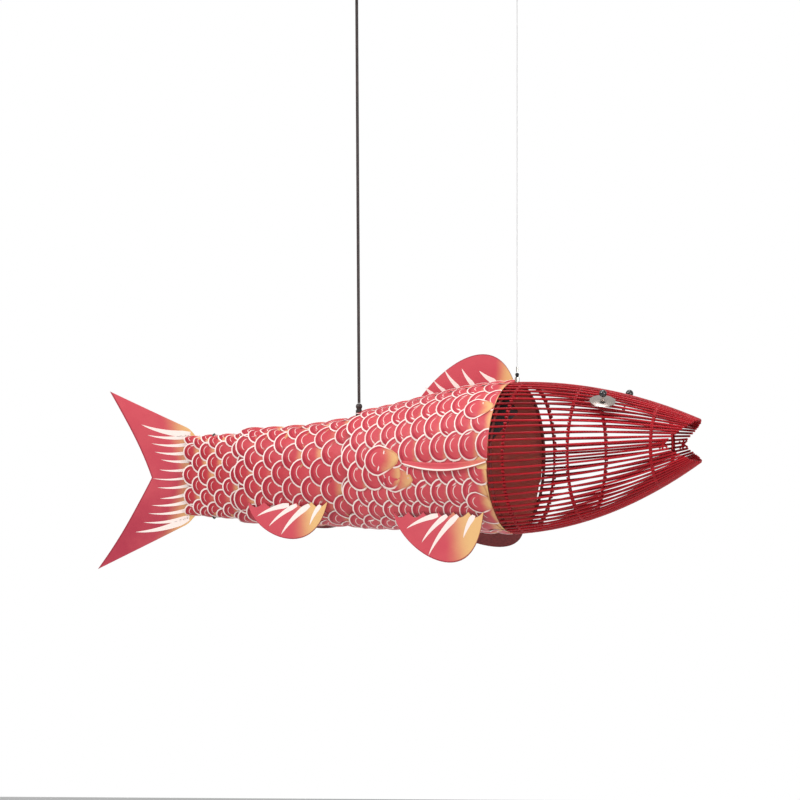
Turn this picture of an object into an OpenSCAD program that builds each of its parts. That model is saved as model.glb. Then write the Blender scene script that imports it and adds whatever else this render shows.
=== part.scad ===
/* [Overall] */
// Length from the tail root to the collar of the head
body_len = 543; // [480:1:600]
// Length of the rattan head, collar to upper lip
head_len = 302; // [260:2:340]
// Half height of the head at the collar
collar_half_h = 117; // [100:1:130]
// Half width of the head at the collar
collar_half_w = 118; // [100:1:130]
// Drop from the ceiling to the hanging point of the power cord
cord_drop = 664; // [500:2:1200]

/* [Head basket] */
// Diameter of one round rattan rib
rib_d = 3.2; // [2.4:0.2:4]
// Ribs in one sixth of the basket
ribs_per_sector = 11; // [7:1:12]
// Diameter of the rattan hoops inside the ribs
hoop_d = 3.4; // [2.6:0.2:4.4]
// Diameter of the steel collar ring
collar_wire_d = 5; // [4:0.5:6]
// Depth of the open mouth
mouth_depth = 46; // [34:1:56]

/* [Sheet skin] */
// Thickness of the printed sheet
sheet = 1; // [0.8:0.1:1.4]
// Step in radius where one section overlaps the next
section_step = 3; // [2.8:0.1:4]
// Width of the open seam along the back and the belly
seam_w = 4.4; // [3.6:0.2:6]
// Depth of a scale scallop along each rear edge
scallop = 9; // [4:0.5:12]
// Thickness of the fin sheets
fin_sheet = 1.6; // [1:0.1:2.4]

/* [Wire frame] */
// Diameter of the frame rings
ring_d = 3; // [2:0.2:4]
// Diameter of the spine and keel rods
rod_d = 5; // [4:0.5:6]

/* [Lamp] */
// Outside diameter of the lamp cup
cup_d = 47; // [44:1:48]
// Length of the lamp cup
cup_len = 62; // [54:1:70]
// Wall of the lamp cup
cup_wall = 1.6; // [1:0.2:2.4]
// Outside diameter of the lampholder inside the cup
holder_d = 36; // [34:1:40]
// Diameter of the bulb's glass globe
globe_d = 60; // [45:1:70]

/* [Suspension] */
// Diameter of the power cord
cord_d = 4.6; // [4:0.2:6]
// Diameter of the steel suspension wire
wire_d = 1.2; // [0.8:0.1:2]
// Distance between the cord and the wire
line_gap = 266; // [240:2:290]
// How much higher the wire holds the fish than the cord does
wire_lift = 49; // [47:0.5:52]
// Radius of the cord's swivel ball and of the grip's round top
cord_ball_r = 5; // [4.5:0.1:5.4]
// Radius of the wire's swivel ball and of the stud's round top
wire_ball_r = 3; // [2.6:0.1:3.4]
// Running clearance round each ball
ball_gap = 0.3; // [0.2:0.05:0.4]

/* [Ceiling fitting] */
// Length of the canopy
canopy_len = 360; // [330:5:420]
// Width of the canopy
canopy_w = 76; // [66:1:90]
// Height of the canopy
canopy_h = 26; // [24:1:30]
// Wall of the canopy
canopy_wall = 1.2; // [0.8:0.1:2]
// Distance between the two ceiling screw holes
hole_spacing = 200; // [180:2:220]
// Diameter of the ceiling screw holes
hole_d = 5; // [4:0.2:6]
// Travel of the wire gripper's push nozzle
nozzle_travel = 2; // [1:0.1:2.5]

/* [Eyes] */
// Diameter of the steel eye disc
eye_disc_d = 40; // [30:1:46]
// Diameter of the black eye ball
eye_ball_d = 12; // [9:0.5:15]

/* [Hidden] */

skin_red = "#d64f61";
fin_pink = "#de626e";
rattan_red = "#b0202c";
wire_black = "#222222";
steel = "#c8c4be";
touch = 0.05;

// Lines: the origin lies on the ceiling, halfway between the cord and the wire
cord_top_x = -line_gap / 2;
cord_lean = 4;
cord_x = cord_top_x + cord_lean;
wire_x = line_gap / 2;
pivot_z = 6 - canopy_h;
cord_low_z = -cord_drop;
wire_low_z = wire_lift - cord_drop;

// The fish hangs from its collar under the wire
collar_x = wire_x;
tail_x = collar_x - body_len;
collar_z = cord_low_z - 79;

function lerp(a, b, t) = a + (b - a) * t;
function bow(t) = 4 * t * (1 - t);
function ease(t) = t * t * (3 - 2 * t);
function clamp01(t) = min(1, max(0, t));

// Head basket: half width, crown height and chin depth along t, 0 at the collar and 1 at the lip
lip_half_w = 36;
lip_top = 60;
lip_low = -7;
function head_w(t) = lerp(collar_half_w, lip_half_w, t) - 2 * bow(t);
function head_top(t) = collar_z + lerp(collar_half_h, lip_top, t) + 16 * bow(t);
function head_low(t) = collar_z + lerp(-collar_half_h, lip_low, t) - 23 * bow(t);
function head_mid(t) = (head_top(t) + head_low(t)) / 2;
function head_h(t) = (head_top(t) - head_low(t)) / 2;
function head_pt(t, a, off) = [
  collar_x + head_len * t,
  (head_w(t) + off) * cos(a),
  head_mid(t) + (head_h(t) + off) * sin(a)];
mouth_t = 1 - mouth_depth / head_len;
// A rib at angle a ends on the V of the mouth
function rib_end(a) = let (s = abs(sin(a)), hc = head_h(mouth_t), ht = head_h(1))
  mouth_t + (1 - mouth_t) * hc * s / (ht + (hc - ht) * s);

// Body: outer surface of the rearmost section, t is 0 at the tail root and 1 at the collar
tail_half_w = 9;
tail_top = 39;
tail_low = -95;
function body_t(x) = (x - tail_x) / body_len;
function body_w(x) = lerp(tail_half_w, collar_half_w - 2 * section_step,
  pow(clamp01(body_t(x)), 0.85));
function body_top(x) = collar_z + lerp(tail_top, collar_half_h - 2 * section_step,
  ease(pow(clamp01(body_t(x)), 1.5)));
function body_low(x) = collar_z + lerp(tail_low, -collar_half_h + 2 * section_step,
  clamp01(body_t(x)));
function body_mid(x) = (body_top(x) + body_low(x)) / 2;
function body_h(x) = (body_top(x) - body_low(x)) / 2;
function body_pt(x, a, off) = [
  x, (body_w(x) + off) * cos(a), body_mid(x) + (body_h(x) + off) * sin(a)];

// Sections, each over the one behind; the lower front panel tucks under the upper one
front_x0 = cord_x + 5.5;
front_x1 = collar_x - 4;
middle_x0 = cord_x - 188;
middle_x1 = cord_x + 62;
rear_x0 = tail_x - 4;
rear_x1 = cord_x - 152;
upper_off = 2 * section_step;
lower_off = upper_off - sheet - 0.5;
middle_off = section_step;
rear_off = 0;
section_flare = 3;

// Rings of the frame: place along X and the section that each one carries
shoulder_x = cord_x + 150;
waist_x = cord_x + 30;
hip_x = cord_x - 100;
tail_ring_x = tail_x + 40;
ring_gap = 0.3;
function ring_off(skin_off) = skin_off - sheet - ring_d / 2 - ring_gap;
collar_ring_off = -rib_d - collar_wire_d / 2 - touch;
function inside(off, d) = off - d / 2 - rod_d / 2 - touch;
function rod_off(x) = lookup(x, [
  [tail_ring_x, inside(ring_off(rear_off), ring_d)],
  [hip_x, inside(ring_off(middle_off), ring_d)],
  [waist_x, inside(ring_off(middle_off), ring_d)],
  [shoulder_x, inside(ring_off(lower_off), ring_d)],
  [collar_x, inside(upper_off + collar_ring_off, collar_wire_d)]]);
function rod_pt(x, a) = body_pt(x, a, rod_off(x));

// Routes of the cord and the wire
line_steps = 14;
function route(a, b) = [for (i = [0 : line_steps]) lerp(a, b, i / line_steps)];
crimp_len = 8;
crimp_d = 3.2;
open_pivot_gap = 1;
crimp_z = wire_low_z + wire_ball_r + open_pivot_gap;
cord_points = route([cord_top_x, 0, pivot_z - cord_ball_r - ball_gap],
  [cord_x, 0, cord_low_z + cord_ball_r + ball_gap]);
wire_points = route([wire_x, 0, pivot_z - wire_ball_r - ball_gap],
  [wire_x, 0, crimp_z + crimp_len]);

// ---------- swept and lofted solids ----------

function unit(v) = v / norm(v);
function tangents(p) = [for (i = [0 : len(p) - 1])
  unit(p[min(i + 1, len(p) - 1)] - p[max(i - 1, 0)])];

// Side and end faces of a stack of closed loops with n points each
function stack_faces(rings, n) = concat(
  [for (i = [0 : rings - 2]) for (j = [0 : n - 1]) let (k = (j + 1) % n)
    each [[i * n + j, i * n + k, (i + 1) * n + k], [i * n + j, (i + 1) * n + k, (i + 1) * n + j]]],
  [[for (j = [n - 1 : -1 : 0]) j], [for (j = [0 : n - 1]) (rings - 1) * n + j]]);

// Round tube along a list of points
module tube(p, r, sides, up) {
  t = tangents(p);
  points = [for (i = [0 : len(p) - 1])
    let (n = unit(cross(up, t[i])), b = cross(t[i], n))
    for (j = [0 : sides - 1]) let (a = 360 * j / sides) p[i] + r * (cos(a) * n + sin(a) * b)];
  polyhedron(points, stack_faces(len(p), sides));
}

// Closed round ring through places with their outward directions
module loop_tube(p, out, r, sides) {
  n = len(p);
  points = [for (i = [0 : n - 1]) for (j = [0 : sides - 1]) let (a = 360 * j / sides)
    p[i] + r * (cos(a) * out[i] + sin(a) * [1, 0, 0])];
  faces = [for (i = [0 : n - 1]) for (j = [0 : sides - 1])
    let (i2 = (i + 1) % n, k = (j + 1) % sides)
    each [[i * sides + j, i2 * sides + k, i * sides + k],
      [i * sides + j, i2 * sides + j, i2 * sides + k]]];
  polyhedron(points, faces);
}

// Frame ring inside the body skin
module body_ring(x, off, r, sides = 6, steps = 36) {
  angles = [for (i = [0 : steps - 1]) 360 * i / steps];
  w = body_w(x) + off;
  h = body_h(x) + off;
  loop_tube([for (a = angles) [x, w * cos(a), body_mid(x) + h * sin(a)]],
    [for (a = angles) unit([0, h * cos(a), w * sin(a)])], r, sides);
}

// Hoop inside the head ribs
module head_hoop(t, r, gap, sides = 6, steps = 36) {
  angles = [for (i = [0 : steps - 1]) 360 * i / steps];
  off = -rib_d / 2 - r - gap;
  loop_tube([for (a = angles) head_pt(t, a, off - rib_d / 2)],
    [for (a = angles) unit([0, head_h(t) * cos(a), head_w(t) * sin(a)])], r, sides);
}

// Curved sheet over a grid: x from a scalloped rear edge to the front, and the angle as a
// share of the way from the belly seam (-1) to the back seam (1)
module skin(x0, x1, from, to, off, flare, humps, nx = 7, na = 24) {
  function edge_x(v) = x0 - scallop * abs(sin(180 * humps * v));
  function place(i, j, drop) = let (
    x = lerp(edge_x(j / na), x1, i / nx), lift = off + flare * pow(1 - i / nx, 3),
    seam_a = acos(seam_w / 2 / (body_w(x) + lift)),
    a = lerp(from, to, j / na) * seam_a) body_pt(x, a, lift - drop);
  n = (nx + 1) * (na + 1);
  function at(i, j, side) = side * n + i * (na + 1) + j;
  points = [for (side = [0, 1]) for (i = [0 : nx]) for (j = [0 : na]) place(i, j, side * sheet)];
  faces = concat(
    [for (i = [0 : nx - 1]) for (j = [0 : na - 1]) each [
      [at(i, j, 0), at(i + 1, j + 1, 0), at(i, j + 1, 0)],
      [at(i, j, 0), at(i + 1, j, 0), at(i + 1, j + 1, 0)],
      [at(i, j, 1), at(i, j + 1, 1), at(i + 1, j + 1, 1)],
      [at(i, j, 1), at(i + 1, j + 1, 1), at(i + 1, j, 1)]]],
    [for (i = [0 : nx - 1]) each [
      [at(i, 0, 0), at(i, 0, 1), at(i + 1, 0, 1)], [at(i, 0, 0), at(i + 1, 0, 1), at(i + 1, 0, 0)],
      [at(i, na, 0), at(i + 1, na, 1), at(i, na, 1)],
      [at(i, na, 0), at(i + 1, na, 0), at(i + 1, na, 1)]]],
    [for (j = [0 : na - 1]) each [
      [at(0, j, 0), at(0, j + 1, 1), at(0, j, 1)], [at(0, j, 0), at(0, j + 1, 0), at(0, j + 1, 1)],
      [at(nx, j, 0), at(nx, j, 1), at(nx, j + 1, 1)],
      [at(nx, j, 0), at(nx, j + 1, 1), at(nx, j + 1, 0)]]]);
  polyhedron(points, faces);
}

module on_side(left) {
  mirror([0, left ? 0 : 1, 0]) children();
}

// Smooth curve from p[0] to p[3], drawn towards p[1] and p[2]
function curve(p, steps = 16) = [for (i = [0 : steps]) let (t = i / steps, s = 1 - t)
  s * s * s * p[0] + 3 * s * s * t * p[1] + 3 * s * t * t * p[2] + t * t * t * p[3]];

// Upright flat sheet in the plane of symmetry, from an outline in X and Z
module upright_sheet(outline, thickness) {
  rotate([90, 0, 0]) translate([0, 0, -thickness / 2])
    linear_extrude(thickness) polygon(outline);
}

module stadium(length, width, height) {
  linear_extrude(height) union() {
    square([length - width, width], center = true);
    for (s = [-1, 1]) translate([s * (length - width) / 2, 0]) circle(d = width, $fn = 64);
  }
}

// ---------- ceiling fitting ----------

bracket_len = hole_spacing + 30;
bracket_w = 22;
bracket_t = 2;
canopy_screw_x = 60;
canopy_screw_d = 3;
gland_r = 9;
gland_rim = 3;
gland_fit = 0.1;

module ceiling_bracket() {
  color(steel) translate([0, 0, -bracket_t]) difference() {
    translate([-bracket_len / 2, -bracket_w / 2, 0]) cube([bracket_len, bracket_w, bracket_t]);
    for (s = [-1, 1]) {
      translate([s * hole_spacing / 2, 0, -1]) cylinder(d = hole_d, h = bracket_t + 2, $fn = 48);
      translate([s * canopy_screw_x, 0, -1])
        cylinder(d = canopy_screw_d + 0.1, h = bracket_t + 2, $fn = 32);
    }
  }
}

module ceiling_canopy() {
  color(wire_black) difference() {
    translate([0, 0, -canopy_h]) stadium(canopy_len, canopy_w, canopy_h);
    translate([0, 0, canopy_wall - canopy_h])
      stadium(canopy_len - 2 * canopy_wall, canopy_w - 2 * canopy_wall, canopy_h);
    for (x = [cord_top_x, wire_x]) translate([x, 0, -canopy_h - 1])
      cylinder(r = gland_r + gland_fit, h = canopy_wall + 2, $fn = 48);
    for (s = [-1, 1]) translate([s * canopy_screw_x, 0, -canopy_h - 1])
      cylinder(d = canopy_screw_d + 0.6, h = canopy_wall + 2, $fn = 32);
  }
}

module canopy_screws() {
  head_h = 2.4;
  color(steel) for (s = [-1, 1]) translate([s * canopy_screw_x, 0, -canopy_h - touch]) {
    cylinder(d = canopy_screw_d, h = canopy_h - 0.5, $fn = 32);
    translate([0, 0, -head_h]) cylinder(d = canopy_screw_d * 2.2, h = head_h, $fn = 32);
  }
}

// Socket for a swivel ball, with a flared mouth that lets the line swing
module gland(x, ball_r) {
  top = pivot_z + ball_r + 2;
  rim_z = -canopy_h - touch;
  seat = ball_r * 0.76;
  translate([x, 0, 0]) rotate_extrude($fn = 48) polygon([
    [ball_r + ball_gap, top], [gland_r, top], [gland_r, rim_z], [gland_r + gland_rim, rim_z],
    [gland_r + gland_rim, rim_z - 2], [ball_r + 1.5, rim_z - 2],
    [ball_r * 0.8 + ball_gap, pivot_z - seat], [ball_r + ball_gap, pivot_z]]);
}

module cord_gland() {
  color(wire_black) gland(cord_top_x, cord_ball_r);
}

module wire_gland() {
  color(steel) gland(wire_x, wire_ball_r);
}

module terminal_block() {
  block = [36, 14, 12];
  color("white") translate([-block[0] / 2, -block[1] / 2, -bracket_t - touch - block[2]])
    difference() {
      cube(block);
      for (i = [0 : 2]) translate([6 + 12 * i, -1, block[2] / 2])
        rotate([-90, 0, 0]) cylinder(d = 4, h = block[1] + 2, $fn = 24);
    }
}

// ---------- lines ----------

module cord_swivel_ball() {
  color(wire_black) translate([cord_top_x, 0, pivot_z]) sphere(r = cord_ball_r, $fn = 48);
}

module wire_swivel_ball() {
  color(steel) translate([wire_x, 0, pivot_z]) sphere(r = wire_ball_r, $fn = 48);
}

module power_cord() {
  color(wire_black) tube(cord_points, cord_d / 2, 10, [0, 1, 0]);
}

module suspension_wire() {
  color(steel) tube(wire_points, wire_d / 2, 8, [0, 1, 0]);
}

module wire_crimp() {
  color(steel) translate([wire_x, 0, crimp_z]) cylinder(d = crimp_d, h = crimp_len, $fn = 32);
}

grip_stem_d = 3.2;
nut_h = 2;
grip_skin_z = body_pt(cord_x, 90, middle_off)[2];
nut_z = rod_pt(cord_x, 90)[2] + rod_d / 2 + 0.8;

module cord_grip() {
  waist_r = cord_ball_r - 1;
  color(wire_black) translate([cord_x, 0, 0]) {
    translate([0, 0, cord_low_z]) sphere(r = cord_ball_r, $fn = 48);
    translate([0, 0, grip_skin_z + 1]) cylinder(r = cord_ball_r, h = 8, $fn = 48);
    translate([0, 0, grip_skin_z + 9]) cylinder(r = waist_r, h = cord_low_z - grip_skin_z - 9, $fn = 48);
    translate([0, 0, nut_z + 0.2]) cylinder(d = grip_stem_d, h = grip_skin_z - nut_z + 1, $fn = 32);
  }
}

module grip_nut() {
  color(steel) translate([cord_x, 0, nut_z]) difference() {
    cylinder(r = 4.4, h = nut_h, $fn = 6);
    translate([0, 0, -1]) cylinder(d = grip_stem_d + 0.1, h = nut_h + 2, $fn = 32);
  }
}

collar_top_z = collar_z + collar_half_h;
gripper_r = 3.6;
nozzle_r = 2.2;
nozzle_len = 7;
gripper_top = wire_low_z - nozzle_travel - 0.75 * wire_ball_r;

module wire_gripper() {
  foot_z = collar_top_z + collar_ring_off + collar_wire_d / 2 + touch;
  slot_h = collar_top_z + 0.3 - foot_z;
  color(steel) translate([wire_x, 0, 0]) difference() {
    translate([0, 0, foot_z]) cylinder(r = gripper_r, h = gripper_top - foot_z, $fn = 40);
    translate([-5, -rib_d / 2 - 0.1, foot_z - 1]) cube([10, rib_d + 0.2, slot_h + 1]);
    translate([0, 0, wire_low_z - nozzle_len - nozzle_travel - 0.2])
      cylinder(r = nozzle_r + 0.1, h = nozzle_len + 10, $fn = 40);
  }
}

module gripper_nozzle() {
  color(wire_black) translate([wire_x, 0, wire_low_z]) {
    sphere(r = wire_ball_r, $fn = 40);
    translate([0, 0, -nozzle_len]) cylinder(r = nozzle_r, h = nozzle_len, $fn = 40);
  }
}

// ---------- frame ----------

module rod(a) {
  steps = 16;
  color(wire_black) tube([for (i = [0 : steps])
    rod_pt(lerp(tail_ring_x - 8, collar_x + 3, i / steps), a)], rod_d / 2, 8, [0, 1, 0]);
}

module spine_rod() {
  rod(90);
}

module keel_rod() {
  rod(-90);
}

module collar_ring() {
  color(wire_black) head_hoop(0, collar_wire_d / 2, touch, 8);
}

module frame_ring(x, skin_off) {
  color(wire_black) body_ring(x, ring_off(skin_off), ring_d / 2);
}

module shoulder_ring() {
  frame_ring(shoulder_x, lower_off);
}

module waist_ring() {
  frame_ring(waist_x, middle_off);
}

module hip_ring() {
  frame_ring(hip_x, middle_off);
}

module tail_ring() {
  frame_ring(tail_ring_x, rear_off);
}

// ---------- lamp ----------

cup_x = collar_x - 18;
cup_z = rod_pt(collar_x - 18, 90)[2] - 21;
cup_tilt = 225;
cap_d = 26.5;
cap_len = 24;
neck_len = 26;
disc_r = 10;
disc_t = 3;

// Local frame of the lamp: Z runs down the lamp's axis, towards the tail
module on_lamp() {
  translate([cup_x, 0, cup_z]) rotate([0, cup_tilt, 0]) children();
}

module lamp_bracket() {
  bar = [8, 4];
  bar_z = cup_z + bar[0] / 2 + 0.3;
  bar_top = rod_pt(cup_x + bar[0] / 2, 90)[2] - rod_d / 2 - 0.6;
  color(wire_black) {
    on_lamp() translate([0, 0, -disc_t - touch]) cylinder(r = disc_r, h = disc_t, $fn = 40);
    translate([cup_x - bar[0] / 2, -bar[1] / 2, bar_z]) cube([bar[0], bar[1], bar_top - bar_z]);
  }
}

module lamp_cup() {
  color(wire_black) on_lamp() difference() {
    cylinder(d = cup_d, h = cup_len, $fn = 64);
    translate([0, 0, cup_wall]) cylinder(d = cup_d - 2 * cup_wall, h = cup_len, $fn = 64);
  }
}

module lampholder() {
  color(wire_black) on_lamp() translate([0, 0, cup_wall + touch]) difference() {
    cylinder(d = holder_d, h = cup_len - 14, $fn = 48);
    translate([0, 0, cup_len - 14 - cap_len - 4])
      cylinder(d = cap_d + 0.6, h = cap_len + 6, $fn = 48);
  }
}

cap_z = cup_wall + cup_len - 14 - cap_len - 2;

module bulb_cap() {
  color(steel) on_lamp() translate([0, 0, cap_z]) cylinder(d = cap_d, h = cap_len, $fn = 48);
}

module bulb_globe() {
  globe_z = cap_z + cap_len + neck_len + globe_d / 2 - 6;
  color("white") on_lamp() {
    translate([0, 0, cap_z + cap_len + touch])
      cylinder(d = cap_d - 1, h = globe_z - cap_z - cap_len, $fn = 48);
    translate([0, 0, globe_z]) sphere(d = globe_d, $fn = 64);
  }
}

lead_d = 4;
lead_y = 6.4;

module inner_lead() {
  drop = 5;
  xs = [for (i = [0 : 9]) lerp(cord_x + 6, cup_x - 22, i / 9)];
  down = [for (x = xs) rod_pt(x, 90) + [0, lead_y, -drop / 2]];
  color(wire_black) tube(concat(
    [[cord_x, lead_y, nut_z - 2], [cord_x + 2, lead_y, nut_z - 5]], down,
    [[cup_x - 12, 8, cup_z + 19], [cup_x - 1, 13, cup_z + 9], [cup_x + 2.2, 15, cup_z + 2.6]]),
    lead_d / 2, 8, [0, 1, 0]);
}

// ---------- sheet skin ----------

upper_edge = -0.08;

module front_upper_panel(left) {
  color(skin_red) on_side(left)
    skin(front_x0, front_x1, upper_edge, 1, upper_off, section_flare, 4, 8, 16);
}

module front_lower_panel(left) {
  color(skin_red) on_side(left)
    skin(front_x0, front_x1 - 2, -1, 0, lower_off, section_flare, 4, 8, 16);
}

module middle_panel(left) {
  color(skin_red) on_side(left)
    skin(middle_x0, middle_x1, -1, 1, middle_off, section_flare, 8, 8, 32);
}

module rear_panel(left) {
  color(skin_red) on_side(left) skin(rear_x0, rear_x1, -1, 1, rear_off, 0, 6, 6, 24);
}

// ---------- fins ----------

tail_back_top = 134;
tail_back_low = 154;
tail_rise = 63;
tail_fall = 77;
notch_back = 64;
rivet_d = 3;

module tail_fin() {
  top = body_top(tail_x);
  low = body_low(tail_x);
  mid = (top + low) / 2;
  root = tail_x + 16;
  color(fin_pink) difference() {
    upright_sheet([
      [root, top - 14], [tail_x + 6, top - 3], [tail_x - 6, top + 1],
      [tail_x - tail_back_top, top + tail_rise], [tail_x - notch_back, mid - 3],
      [tail_x - tail_back_low, low - tail_fall], [tail_x - 6, low - 1],
      [tail_x + 6, low + 3], [root, low + 14]], fin_sheet);
    tail_pins(rivet_d + 0.2, 30);
  }
}

module tail_pins(d, length) {
  for (i = [-1, 0, 1]) translate([tail_x + 8, 0, body_mid(tail_x) + 38 * i])
    rotate([90, 0, 0]) cylinder(d = d, h = length, center = true, $fn = 24);
}

module tail_rivets() {
  color(steel) intersection() {
    tail_pins(rivet_d, 2 * tail_half_w - 2 * sheet - 2);
    translate([tail_x, -50, body_low(tail_x)]) cube([40, 100, body_top(tail_x) - body_low(tail_x)]);
  }
}

dorsal_len = 161;
dorsal_rise = 70;

module dorsal_fin() {
  x0 = collar_x - dorsal_len - 3;
  x1 = collar_x - 5;
  function root_z(x) = body_pt(x, 90, lower_off - sheet)[2] + touch;
  color(fin_pink) upright_sheet(concat(
    curve([[x0, root_z(x0)], [x0 + 43, root_z(x0) + 0.85 * dorsal_rise],
      [x0 + 128, root_z(x0) + 1.6 * dorsal_rise], [x1, root_z(x1) + 2]]),
    [for (i = [0 : 6]) let (x = lerp(x1, x0 + 4, i / 6)) [x, root_z(x)]]), fin_sheet);
}

// Side fin: a flat sheet that hangs from a root line on the body's flank. The right fins hang
// close to the body and the left ones are bent outwards.
fin_stand = 4.5;
fin_hang = 9;
fin_spread = 50;

function fin_a(x0, a, off) = body_pt(x0, a, off + fin_stand);
function fin_dir(x0, x1, a, off) = unit(fin_a(x1, a, off) - fin_a(x0, a, off));

module side_fin(left, x0, x1, a, off, outline) {
  d = fin_dir(x0, x1, a, off);
  translate(fin_a(x0, a, off)) rotate([left ? fin_spread : fin_hang, -asin(d[2]), atan2(d[1], d[0])])
    upright_sheet([for (p = outline) [p[0], -p[1]]], fin_sheet);
}

pectoral_angle = -46;
pectoral_x0 = cord_x + 83;
pectoral_len = 157;
pectoral_depth = 72;
pelvic_angle = -34;
pelvic_x0 = cord_x - 169;
pelvic_len = 141;
pelvic_depth = 52;

module pectoral_fin(left) {
  color(fin_pink) on_side(left)
    side_fin(left, pectoral_x0, pectoral_x0 + pectoral_len, pectoral_angle, upper_off, curve([
      [2, 0], [14, 0.72 * pectoral_depth], [pectoral_len - 7, 1.89 * pectoral_depth],
      [pectoral_len, 0]]));
}

module pelvic_fin(left) {
  color(fin_pink) on_side(left)
    side_fin(left, pelvic_x0, pelvic_x0 + pelvic_len, pelvic_angle, middle_off, curve([
      [0, 0], [14, 0.95 * pelvic_depth], [pelvic_len - 19, 1.73 * pelvic_depth],
      [pelvic_len, 0]]));
}

// ---------- head basket ----------

sector_span = 60;

// Ribs of one sixth of the basket, centred on an angle: 90 is the crown, -90 the chin
module ribs(middle) {
  steps = 7;
  start_t = -3 / head_len;
  color(rattan_red) for (k = [0 : ribs_per_sector - 1]) {
    a = middle + sector_span * ((k + 0.5) / ribs_per_sector - 0.5);
    tube([for (i = [0 : steps]) head_pt(lerp(start_t, rib_end(a), i / steps), a, -rib_d / 2)],
      rib_d / 2, 6, [0, 1, 0]);
  }
}

module crown_ribs() {
  ribs(90);
}

module chin_ribs() {
  ribs(-90);
}

module temple_ribs(left) {
  on_side(left) ribs(30);
}

module jowl_ribs(left) {
  on_side(left) ribs(-30);
}

module cheek_hoop() {
  color(rattan_red) head_hoop(0.063, hoop_d / 2, touch);
}

module brow_hoop() {
  color(rattan_red) head_hoop(0.38, hoop_d / 2, 0.15);
}

module mouth_hoop() {
  color(rattan_red) head_hoop(0.79, hoop_d / 2, 0.5);
}

// ---------- eyes ----------

eye_t = 0.535;
eye_angle = 51.2;
eye_stand = 10;
eye_tilt = 23;
eye_pitch = 13;
eye_shank_d = 2.6;
eye_disc_t = 1;
eye_dish = 2.5;
ball_height = 9.8;

module on_eye(left) {
  on_side(left) translate(head_pt(eye_t, eye_angle, eye_stand)) rotate([-eye_tilt, eye_pitch, 0])
    children();
}

module eye_disc(left) {
  r = eye_disc_d / 2;
  hole = eye_shank_d / 2 + 0.1;
  steps = 8;
  function dish(i, drop) = let (q = lerp(hole, r, i / steps)) [q, -eye_dish * pow(q / r, 2) - drop];
  color(steel) on_eye(left) rotate_extrude($fn = 64) polygon(concat(
    [for (i = [0 : steps]) dish(i, 0)], [for (i = [steps : -1 : 0]) dish(i, eye_disc_t)]));
}

module eye_screw(left) {
  nut_drop = 18;
  color(steel) on_eye(left) {
    translate([0, 0, -nut_drop - 2]) cylinder(d = eye_shank_d, h = nut_drop + 2 + ball_height
      - eye_ball_d / 2, $fn = 32);
    translate([0, 0, -nut_drop]) cylinder(d = 5.5, h = 2.2, $fn = 6);
    translate([0, 0, touch]) cylinder(d = 7, h = 1, $fn = 32);
  }
}

module eye_ball(left) {
  color(wire_black) on_eye(left) translate([0, 0, ball_height + touch])
    sphere(d = eye_ball_d, $fn = 48);
}

ceiling_bracket();
ceiling_canopy();
canopy_screws();
cord_gland();
terminal_block();
wire_gland();
cord_swivel_ball();
wire_swivel_ball();
power_cord();
suspension_wire();
wire_crimp();
cord_grip();
grip_nut();
wire_gripper();
gripper_nozzle();
spine_rod();
keel_rod();
collar_ring();
shoulder_ring();
waist_ring();
hip_ring();
tail_ring();
lamp_bracket();
lamp_cup();
lampholder();
inner_lead();
bulb_cap();
bulb_globe();
front_upper_panel(true);  // front_upper_panel_left
front_upper_panel(false);  // front_upper_panel_right
front_lower_panel(true);  // front_lower_panel_left
front_lower_panel(false);  // front_lower_panel_right
middle_panel(true);  // middle_panel_left
middle_panel(false);  // middle_panel_right
rear_panel(true);  // rear_panel_left
rear_panel(false);  // rear_panel_right
tail_fin();
tail_rivets();
dorsal_fin();
pectoral_fin(true);  // pectoral_fin_left
pectoral_fin(false);  // pectoral_fin_right
pelvic_fin(true);  // pelvic_fin_left
pelvic_fin(false);  // pelvic_fin_right
crown_ribs();
temple_ribs(true);  // temple_ribs_left
temple_ribs(false);  // temple_ribs_right
jowl_ribs(true);  // jowl_ribs_left
jowl_ribs(false);  // jowl_ribs_right
chin_ribs();
cheek_hoop();
brow_hoop();
mouth_hoop();
eye_disc(true);  // eye_disc_left
eye_disc(false);  // eye_disc_right
eye_screw(true);  // eye_screw_left
eye_screw(false);  // eye_screw_right
eye_ball(true);  // eye_ball_left
eye_ball(false);  // eye_ball_right
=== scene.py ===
"""Looks of a carp pendant lantern, laid out as an add-on: one operator for each group of pieces."""

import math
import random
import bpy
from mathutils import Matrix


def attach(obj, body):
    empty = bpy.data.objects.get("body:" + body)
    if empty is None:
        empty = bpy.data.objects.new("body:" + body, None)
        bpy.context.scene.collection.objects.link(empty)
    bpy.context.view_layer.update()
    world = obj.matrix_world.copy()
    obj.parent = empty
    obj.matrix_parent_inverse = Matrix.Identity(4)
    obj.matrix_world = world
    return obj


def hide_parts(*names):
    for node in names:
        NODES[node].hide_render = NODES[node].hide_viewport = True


bl_info = {
    "name": "Carp pendant lantern",
    "version": (1, 0, 0),
    "blender": (4, 5, 0),
    "location": "3D View > Sidebar > Carp",
    "description": "Scaled sheet skin, rattan head, fins, lines and fittings of a carp lantern",
    "category": "Object",
}

import bmesh
import bpy
from mathutils import Matrix, Vector

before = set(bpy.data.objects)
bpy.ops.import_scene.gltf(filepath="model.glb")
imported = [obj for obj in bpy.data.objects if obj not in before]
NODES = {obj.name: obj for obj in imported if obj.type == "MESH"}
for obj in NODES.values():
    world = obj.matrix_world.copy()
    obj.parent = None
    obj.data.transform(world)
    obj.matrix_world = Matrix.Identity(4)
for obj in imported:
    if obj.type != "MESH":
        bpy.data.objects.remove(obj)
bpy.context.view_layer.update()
MM = 0.001
SIDES = (("left", 1), ("right", -1))


# ---------- settings ----------

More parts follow.
